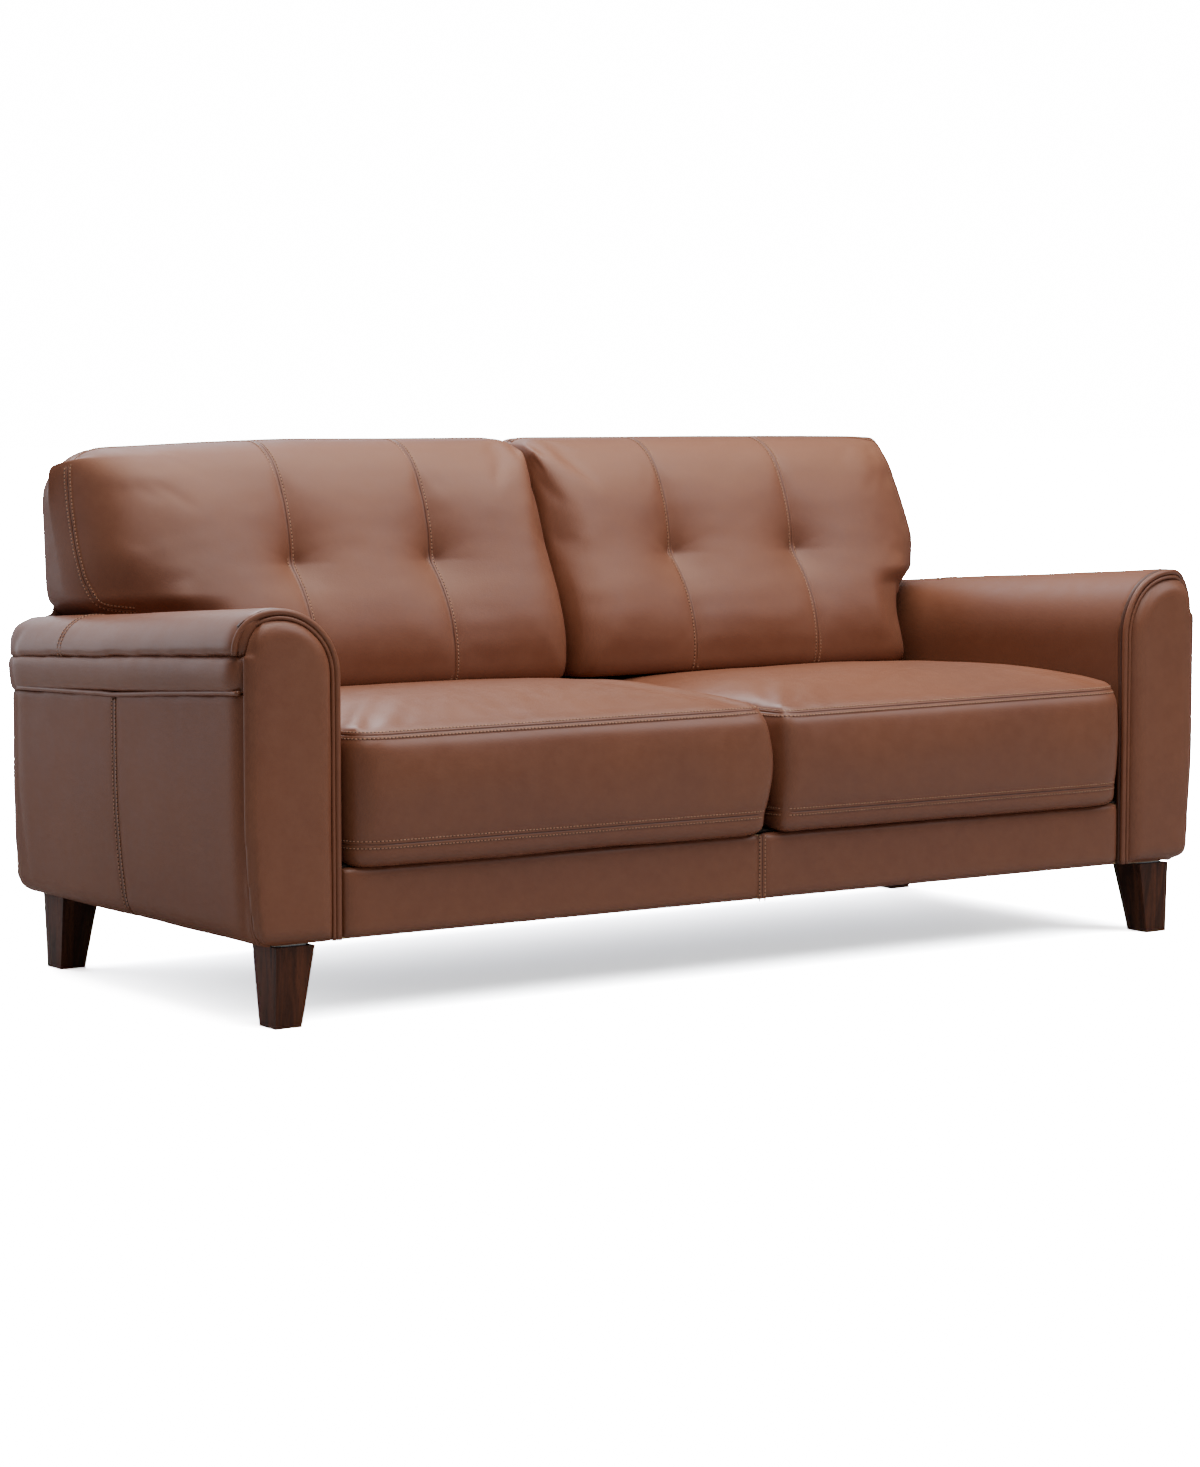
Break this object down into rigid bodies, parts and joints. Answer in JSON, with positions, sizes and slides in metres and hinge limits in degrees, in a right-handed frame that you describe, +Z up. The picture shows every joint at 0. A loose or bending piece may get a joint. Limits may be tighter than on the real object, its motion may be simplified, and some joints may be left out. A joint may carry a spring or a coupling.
{
  "type": "three-seat sofa",
  "caption": "Wide leather sofa with rolled, welted arms, thick seat cushions, a leaning tufted back with ears over the arms, and dark tapered wooden legs.",
  "frame": {"origin": "on the floor, under the middle of the sofa's width and depth", "axes": "+X along the seat to the right arm as someone facing the sofa sees it, +Y from the front to the back, +Z up; the seat faces -Y"},
  "size_m": [2.05, 0.9, 0.925],
  "materials": {
    "tan_leather": "satin",
    "leg_wood": "satin",
    "frame_timber": "sawn",
    "plywood": "raw",
    "hardboard": "raw",
    "fixing_steel": "zinc plated",
    "webbing": "woven",
    "deck_felt": "felt",
    "seat_foam": "foam",
    "cushion_fibre": "fibre",
    "dust_cloth": "woven"
  },
  "bodies": {
    "root": {"back_level_straps": "webbing", "back_mid_rail": "frame_timber", "back_posts": "plywood", "back_rail": "frame_timber", "back_top_rail": "frame_timber", "back_upright_straps": "webbing", "centre_stretcher": "frame_timber", "corner_blocks": "frame_timber", "deck_pad": "deck_felt", "dust_cover": "dust_cloth", "front_left_leg": "leg_wood", "front_rail": "frame_timber", "front_right_leg": "leg_wood", "left_arm_boards": "hardboard", "left_arm_cap": "tan_leather", "left_arm_facing": "tan_leather", "left_arm_foot_rail": "frame_timber", "left_arm_front_frame": "plywood", "left_arm_front_side_panel": "tan_leather", "left_arm_posts": "frame_timber", "left_arm_rear_frame": "plywood", "left_arm_rear_side_panel": "tan_leather", "left_arm_side_band": "tan_leather", "left_arm_top_rail": "frame_timber", "left_arm_welt": "tan_leather", "left_back_core": "cushion_fibre", "left_back_cover": "tan_leather", "left_ear_frame": "plywood", "left_rail_cover": "tan_leather", "left_seat_core": "seat_foam", "left_seat_cover": "tan_leather", "left_seat_side_rail": "frame_timber", "leg_blocks": "frame_timber", "leg_bolts": "fixing_steel", "leg_plates": "fixing_steel", "outside_back": "tan_leather", "rear_left_leg": "leg_wood", "rear_right_leg": "leg_wood", "right_arm_boards": "hardboard", "right_arm_cap": "tan_leather", "right_arm_facing": "tan_leather", "right_arm_foot_rail": "frame_timber", "right_arm_front_frame": "plywood", "right_arm_front_side_panel": "tan_leather", "right_arm_posts": "frame_timber", "right_arm_rear_frame": "plywood", "right_arm_rear_side_panel": "tan_leather", "right_arm_side_band": "tan_leather", "right_arm_top_rail": "frame_timber", "right_arm_welt": "tan_leather", "right_back_core": "cushion_fibre", "right_back_cover": "tan_leather", "right_ear_frame": "plywood", "right_rail_cover": "tan_leather", "right_seat_core": "seat_foam", "right_seat_cover": "tan_leather", "right_seat_side_rail": "frame_timber", "seat_cross_straps": "webbing", "seat_long_straps": "webbing"}
  },
  "joints": []
}
